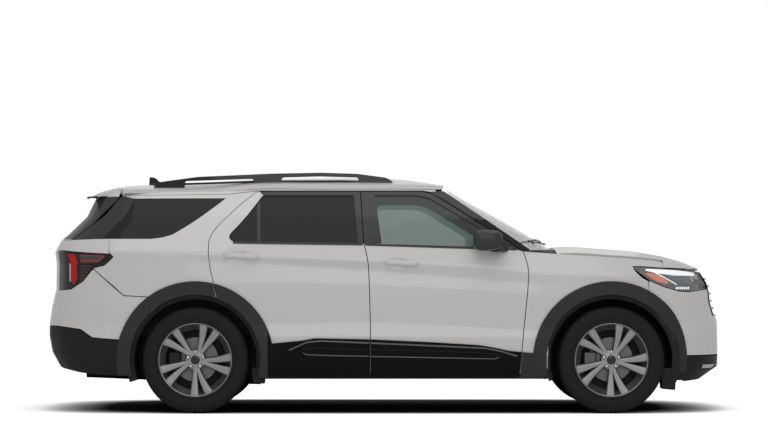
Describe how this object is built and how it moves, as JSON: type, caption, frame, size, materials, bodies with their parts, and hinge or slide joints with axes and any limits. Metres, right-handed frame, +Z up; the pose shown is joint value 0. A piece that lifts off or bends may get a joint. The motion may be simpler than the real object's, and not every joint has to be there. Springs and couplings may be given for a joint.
{
  "type": "suv",
  "caption": "Full-size five-door suv with three seat rows, opening doors, hood and tailgate, steered front wheels and roof rails, in pale paint over charcoal cladding.",
  "frame": {"origin": "centre of the footprint on the ground, midway along and across the car", "axes": "+X towards the front of the car, +Y to its left-hand side, +Z up"},
  "size_m": [5.036, 2.268, 1.7617],
  "materials": {
    "body_paint": "warm light-grey gloss paint",
    "cladding_plastic": "moulded-in charcoal grain",
    "black_trim": "gloss black",
    "tinted_glass": "privacy tint",
    "clear_glass": "pale green tint",
    "lamp_lens": "clear lens over a dark housing",
    "tail_lamp_lens": "deep red lens",
    "structure_paint": "dark sealed inner body",
    "cabin_plastic": "soft-touch dark grey",
    "seat_fabric": "dark grey woven cloth",
    "cast_metal": "dark coated metal",
    "rim_metal": "machined grey faces",
    "tyre_rubber": "black rubber"
  },
  "bodies": {
    "body": {"body_frame": "structure_paint", "floor_pan": "structure_paint", "front_frame": "structure_paint", "roof_bows": "structure_paint", "roof_panel": "body_paint", "quarter_panels": "body_paint", "quarter_glass": "tinted_glass", "fenders": "body_paint", "a_pillars": "black_trim", "front_bumper": "body_paint", "front_bumper_lower": "cladding_plastic", "grille": "black_trim", "headlamps": "lamp_lens", "rear_bumper": "body_paint", "rear_bumper_lower": "cladding_plastic", "tail_lamps": "tail_lamp_lens", "windscreen": "clear_glass", "arch_cladding": "cladding_plastic", "roof_rails": "black_trim", "cowl": "cladding_plastic", "dashboard": "cabin_plastic", "seats": "seat_fabric", "engine": "cast_metal", "exhaust": "cast_metal", "front_suspension": "cast_metal", "rear_suspension": "cast_metal"},
    "hood": {"hood": "body_paint"},
    "tailgate": {"tailgate": "body_paint", "tailgate_glass": "tinted_glass"},
    "front_door_right": {"front_door_right": "body_paint", "front_glass_right": "clear_glass", "front_door_cladding_right": "cladding_plastic", "mirror_right": "black_trim"},
    "rear_door_right": {"rear_door_right": "body_paint", "rear_glass_right": "tinted_glass", "rear_door_cladding_right": "cladding_plastic"},
    "knuckle_right": {"knuckle_right": "cast_metal"},
    "front_door_left": {"front_door_left": "body_paint", "front_glass_left": "clear_glass", "front_door_cladding_left": "cladding_plastic", "mirror_left": "black_trim"},
    "rear_door_left": {"rear_door_left": "body_paint", "rear_glass_left": "tinted_glass", "rear_door_cladding_left": "cladding_plastic"},
    "knuckle_left": {"knuckle_left": "cast_metal"},
    "steering_wheel": {"steering_wheel": "cabin_plastic"},
    "wheel_front_right": {"tyre_front_right": "tyre_rubber", "rim_front_right": "rim_metal"},
    "wheel_front_left": {"tyre_front_left": "tyre_rubber", "rim_front_left": "rim_metal"},
    "wheel_rear_right": {"tyre_rear_right": "tyre_rubber", "rim_rear_right": "rim_metal"},
    "wheel_rear_left": {"tyre_rear_left": "tyre_rubber", "rim_rear_left": "rim_metal"}
  },
  "joints": [
    {"name": "hood_hinge", "type": "hinge", "parent": "body", "child": "hood", "pos_m": [1.2575, 0, 1.2145], "axis": [0, -1, 0], "range_deg": [0, 50]},
    {"name": "tailgate_hinge", "type": "hinge", "parent": "body", "child": "tailgate", "pos_m": [-1.9245, 0, 1.674], "axis": [0, 1, 0], "range_deg": [0, 80]},
    {"name": "front_door_right_hinge", "type": "hinge", "parent": "body", "child": "front_door_right", "pos_m": [1.036, -0.996, 0.8], "axis": [0, 0, 1], "range_deg": [0, 68]},
    {"name": "rear_door_right_hinge", "type": "hinge", "parent": "body", "child": "rear_door_right", "pos_m": [-0.113, -0.996, 0.8], "axis": [0, 0, 1], "range_deg": [0, 68]},
    {"name": "front_door_left_hinge", "type": "hinge", "parent": "body", "child": "front_door_left", "pos_m": [1.036, 0.996, 0.8], "axis": [0, 0, -1], "range_deg": [0, 68]},
    {"name": "rear_door_left_hinge", "type": "hinge", "parent": "body", "child": "rear_door_left", "pos_m": [-0.113, 0.996, 0.8], "axis": [0, 0, -1], "range_deg": [0, 68]},
    {"name": "steering_left", "type": "hinge", "parent": "body", "child": "knuckle_left", "pos_m": [1.653, 0.79, 0.39], "axis": [0, 0, 1], "range_deg": [-35, 35]},
    {"name": "steering_right", "type": "hinge", "parent": "body", "child": "knuckle_right", "pos_m": [1.653, -0.79, 0.39], "axis": [0, 0, 1], "range_deg": [-35, 35]},
    {"name": "steering_wheel_turn", "type": "hinge", "parent": "body", "child": "steering_wheel", "pos_m": [0.64202, 0.4, 1.04947], "axis": [-0.9136, 0, 0.4067], "range_deg": [-490, 490]},
    {"name": "wheel_front_right_spin", "type": "hinge", "parent": "knuckle_right", "child": "wheel_front_right", "pos_m": [1.653, -0.85, 0.39], "axis": [0, 1, 0], "continuous": true},
    {"name": "wheel_front_left_spin", "type": "hinge", "parent": "knuckle_left", "child": "wheel_front_left", "pos_m": [1.653, 0.85, 0.39], "axis": [0, 1, 0], "continuous": true},
    {"name": "wheel_rear_right_spin", "type": "hinge", "parent": "body", "child": "wheel_rear_right", "pos_m": [-1.372, -0.85, 0.39], "axis": [0, 1, 0], "continuous": true},
    {"name": "wheel_rear_left_spin", "type": "hinge", "parent": "body", "child": "wheel_rear_left", "pos_m": [-1.372, 0.85, 0.39], "axis": [0, 1, 0], "continuous": true}
  ],
  "couplings": [
    {"joint": "steering_right", "follows": "steering_left", "ratio": 1},
    {"joint": "steering_wheel_turn", "follows": "steering_left", "ratio": 14}
  ]
}
